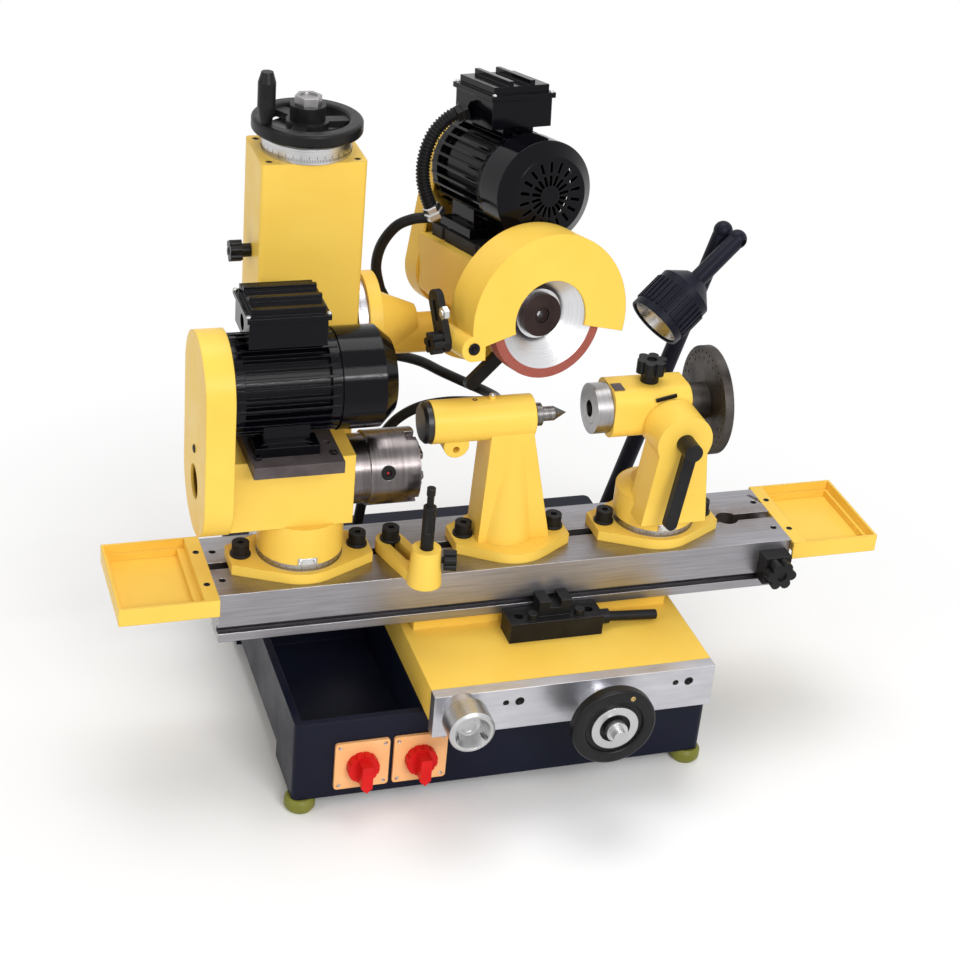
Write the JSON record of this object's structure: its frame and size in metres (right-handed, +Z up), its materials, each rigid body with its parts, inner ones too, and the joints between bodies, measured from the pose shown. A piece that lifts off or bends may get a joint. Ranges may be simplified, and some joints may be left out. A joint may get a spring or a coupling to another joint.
{
  "type": "tool and cutter grinder",
  "caption": "Bench tool and cutter grinder: black base, cross slide and long table with headstock, tailstock and indexing workhead, and a tilting wheel head on a lifting column.",
  "frame": {"origin": "middle of the four bench bolt holes on the floor under the feet", "axes": "+X to the right along the table, +Y to the back, +Z up"},
  "size_m": [0.924, 0.5614, 0.7766],
  "materials": {
    "yellow_paint": "smooth gloss enamel on castings",
    "black_paint": "gloss blue-black enamel",
    "motor_black": "gloss black enamel over a finned casting",
    "steel": "ground steel with light stains",
    "dark_steel": "black oxide",
    "brown_plate": "machined, brown-grey",
    "black_plastic": "moulded black",
    "red_plastic": "glossy red",
    "orange_plate": "satin printed plate without text",
    "olive_rubber": "matt rubber",
    "aluminium": "turned",
    "hose_black": "smooth and ribbed black hose"
  },
  "bodies": {
    "base": {"base_casting": "black_paint", "rubber_feet": "olive_rubber", "switch_plates": "orange_plate", "column_post": "steel"},
    "switch_left": {"switch_knob_left": "red_plastic"},
    "switch_right": {"switch_knob_right": "red_plastic"},
    "saddle": {"saddle_casting": "yellow_paint", "saddle_front_plate": "steel", "table_lock": "dark_steel"},
    "cross_wheel": {"cross_handwheel": "black_plastic", "cross_screw": "steel"},
    "traverse": {"traverse_cup": "steel"},
    "lock_lever": {"lock_lever": "black_plastic"},
    "table": {"table_slab": "steel", "table_trays": "yellow_paint", "end_stop": "dark_steel", "unit_bases": "yellow_paint", "hold_down_screws": "dark_steel", "tooth_rest_arm": "yellow_paint", "tailstock_body": "yellow_paint"},
    "end_stop_knob": {"end_stop_knob": "black_plastic"},
    "headstock": {"headstock_box": "yellow_paint", "headstock_motor_plate": "brown_plate", "headstock_motor": "motor_black", "headstock_belt_guard": "yellow_paint"},
    "chuck": {"chuck_body": "steel"},
    "jaw_1": {"chuck_jaw_1": "steel"},
    "jaw_2": {"chuck_jaw_2": "steel"},
    "jaw_3": {"chuck_jaw_3": "steel"},
    "rest_post": {"tooth_rest_post": "dark_steel"},
    "rest_knob": {"tooth_rest_knob": "black_plastic"},
    "quill": {"tailstock_quill": "steel"},
    "workhead": {"workhead_post": "yellow_paint"},
    "workhead_housing": {"workhead_body": "yellow_paint"},
    "workhead_spin": {"workhead_spindle": "steel", "index_plate": "steel"},
    "workhead_lever": {"workhead_lever": "black_plastic"},
    "workhead_knob": {"workhead_knob": "black_plastic"},
    "column": {"column_sleeve": "yellow_paint", "lift_collar": "aluminium", "arm_scale_ring": "steel", "supply_hose": "hose_black"},
    "lift_wheel": {"lift_handwheel": "black_plastic", "lift_screw": "steel"},
    "crank": {"crank_handle": "black_plastic"},
    "column_knob": {"column_lock_knob": "black_plastic"},
    "arm": {"swing_arm": "yellow_paint"},
    "arm_lever": {"arm_lever": "black_plastic"},
    "head": {"head_housing": "yellow_paint", "head_motor_plate": "dark_steel", "head_motor": "motor_black", "head_belt_cover": "yellow_paint", "head_conduit": "hose_black"},
    "wheel": {"wheel_spindle": "steel", "cup_wheel": "aluminium"},
    "guard": {"wheel_guard": "yellow_paint", "guard_strap": "dark_steel"},
    "guard_knob": {"guard_knob": "black_plastic"},
    "lamp": {"lamp_arm": "black_paint"},
    "lamp_shade": {"lamp_shade": "black_paint"}
  },
  "joints": [
    {"name": "switch_left_turn", "type": "hinge", "parent": "base", "child": "switch_left", "pos_m": [-0.173, -0.219, 0.062], "axis": [0, -1, 0], "range_deg": [-60, 60]},
    {"name": "switch_right_turn", "type": "hinge", "parent": "base", "child": "switch_right", "pos_m": [-0.104, -0.219, 0.062], "axis": [0, -1, 0], "range_deg": [-60, 60]},
    {"name": "saddle_slide", "type": "slide", "parent": "base", "child": "saddle", "axis": [0, 1, 0], "range_m": [-0.09, 0.018]},
    {"name": "cross_wheel_turn", "type": "hinge", "parent": "saddle", "child": "cross_wheel", "pos_m": [0.095, -0.297, 0.138], "axis": [0, -1, 0], "continuous": true},
    {"name": "traverse_turn", "type": "hinge", "parent": "saddle", "child": "traverse", "pos_m": [-0.072, -0.27, 0.15], "axis": [0, -1, 0], "continuous": true},
    {"name": "lock_lever_turn", "type": "hinge", "parent": "saddle", "child": "lock_lever", "pos_m": [0.127, -0.1475, 0.181], "axis": [1, 0, 0], "range_deg": [-25, 25]},
    {"name": "table_slide", "type": "slide", "parent": "saddle", "child": "table", "axis": [-1, 0, 0], "range_m": [-0.035, 0.065]},
    {"name": "end_stop_knob_turn", "type": "hinge", "parent": "table", "child": "end_stop_knob", "pos_m": [0.353, -0.149, 0.22175], "axis": [0, -1, 0], "continuous": true},
    {"name": "headstock_swivel", "type": "hinge", "parent": "table", "child": "headstock", "pos_m": [-0.22, -0.0685, 0.272], "axis": [0, 0, 1], "range_deg": [-5, 20]},
    {"name": "chuck_spin", "type": "hinge", "parent": "headstock", "child": "chuck", "pos_m": [-0.1697, -0.0685, 0.365], "axis": [1, 0, 0], "continuous": true},
    {"name": "jaw_1_slide", "type": "slide", "parent": "chuck", "child": "jaw_1", "axis": [0, -0.7547, -0.6561], "range_m": [-0.006, 0.005]},
    {"name": "jaw_2_slide", "type": "slide", "parent": "chuck", "child": "jaw_2", "axis": [0, 0.9455, -0.3256], "range_m": [-0.006, 0.005]},
    {"name": "jaw_3_slide", "type": "slide", "parent": "chuck", "child": "jaw_3", "axis": [0, -0.1908, 0.9816], "range_m": [-0.006, 0.005]},
    {"name": "rest_post_slide", "type": "slide", "parent": "table", "child": "rest_post", "axis": [0, 0, 1], "range_m": [0, 0.03]},
    {"name": "rest_knob_turn", "type": "hinge", "parent": "table", "child": "rest_knob", "pos_m": [-0.09105, -0.14156, 0.28167], "axis": [0.9703, -0.2419, 0], "continuous": true},
    {"name": "quill_slide", "type": "slide", "parent": "table", "child": "quill", "axis": [-1, 0, 0], "range_m": [0, 0.004]},
    {"name": "workhead_swivel", "type": "hinge", "parent": "table", "child": "workhead", "pos_m": [0.216, -0.0685, 0.272], "axis": [0, 0, 1], "range_deg": [-15, 25]},
    {"name": "workhead_tilt", "type": "hinge", "parent": "workhead", "child": "workhead_housing", "pos_m": [0.216, -0.084, 0.398], "axis": [0, -1, 0], "range_deg": [-15, 20]},
    {"name": "workhead_spin", "type": "hinge", "parent": "workhead_housing", "child": "workhead_spin", "pos_m": [0.216, -0.05, 0.409], "axis": [1, 0, 0], "continuous": true},
    {"name": "workhead_lever_turn", "type": "hinge", "parent": "workhead", "child": "workhead_lever", "pos_m": [0.216, -0.128, 0.398], "axis": [0, -1, 0], "range_deg": [-25, 25]},
    {"name": "workhead_knob_turn", "type": "hinge", "parent": "workhead_housing", "child": "workhead_knob", "pos_m": [0.196, -0.05, 0.44], "axis": [0, 0, 1], "continuous": true},
    {"name": "column_slide", "type": "slide", "parent": "base", "child": "column", "axis": [0, 0, 1], "range_m": [-0.01, 0.14], "deforming": ["supply_hose"]},
    {"name": "lift_wheel_turn", "type": "hinge", "parent": "column", "child": "lift_wheel", "pos_m": [-0.188, 0.106, 0.702], "axis": [0, 0, 1], "continuous": true},
    {"name": "crank_turn", "type": "hinge", "parent": "lift_wheel", "child": "crank", "pos_m": [-0.23921, 0.08736, 0.71], "axis": [0, 0, 1], "continuous": true},
    {"name": "column_knob_turn", "type": "hinge", "parent": "column", "child": "column_knob", "pos_m": [-0.248, 0.106, 0.56], "axis": [-1, 0, 0], "continuous": true},
    {"name": "arm_tilt", "type": "hinge", "parent": "column", "child": "arm", "pos_m": [-0.128, 0.106, 0.466], "axis": [-1, 0, 0], "range_deg": [-3, 15]},
    {"name": "arm_lever_turn", "type": "hinge", "parent": "arm", "child": "arm_lever", "pos_m": [0.055, 0.05937, 0.45034], "axis": [0, -0.9903, 0.1392], "range_deg": [-20, 20]},
    {"name": "head_swivel", "type": "hinge", "parent": "arm", "child": "head", "pos_m": [0.033, 0.1066, 0.47026], "axis": [0, 0.1392, 0.9903], "range_deg": [-20, 20], "deforming": ["head_conduit"]},
    {"name": "wheel_spin", "type": "hinge", "parent": "head", "child": "wheel", "pos_m": [0.05628, -0.00726, 0.52059], "axis": [-0.1908, 0.9721, -0.1366], "continuous": true},
    {"name": "guard_turn", "type": "hinge", "parent": "head", "child": "guard", "pos_m": [0.05437, 0.00246, 0.51923], "axis": [-0.1908, 0.9721, -0.1366], "range_deg": [-15, 15]},
    {"name": "guard_knob_turn", "type": "hinge", "parent": "guard", "child": "guard_knob", "pos_m": [-0.05312, -0.03945, 0.5029], "axis": [-0.9816, -0.189, 0.0266], "continuous": true},
    {"name": "lamp_turn", "type": "hinge", "parent": "base", "child": "lamp", "pos_m": [0.225, 0.1, 0.14], "axis": [0, 0, 1], "range_deg": [-10, 40]},
    {"name": "lamp_shade_tilt", "type": "hinge", "parent": "lamp", "child": "lamp_shade", "pos_m": [0.352, 0.11, 0.548], "axis": [-0.3928, 0.9146, 0.0961], "range_deg": [-7, 15]}
  ],
  "couplings": [
    {"joint": "cross_wheel_turn", "follows": "saddle_slide", "rad_per_m": 1256.6},
    {"joint": "traverse_turn", "follows": "table_slide", "rad_per_m": 66.667},
    {"joint": "lift_wheel_turn", "follows": "column_slide", "rad_per_m": 1256.6},
    {"joint": "jaw_2_slide", "follows": "jaw_1_slide", "ratio": 1},
    {"joint": "jaw_3_slide", "follows": "jaw_1_slide", "ratio": 1}
  ]
}
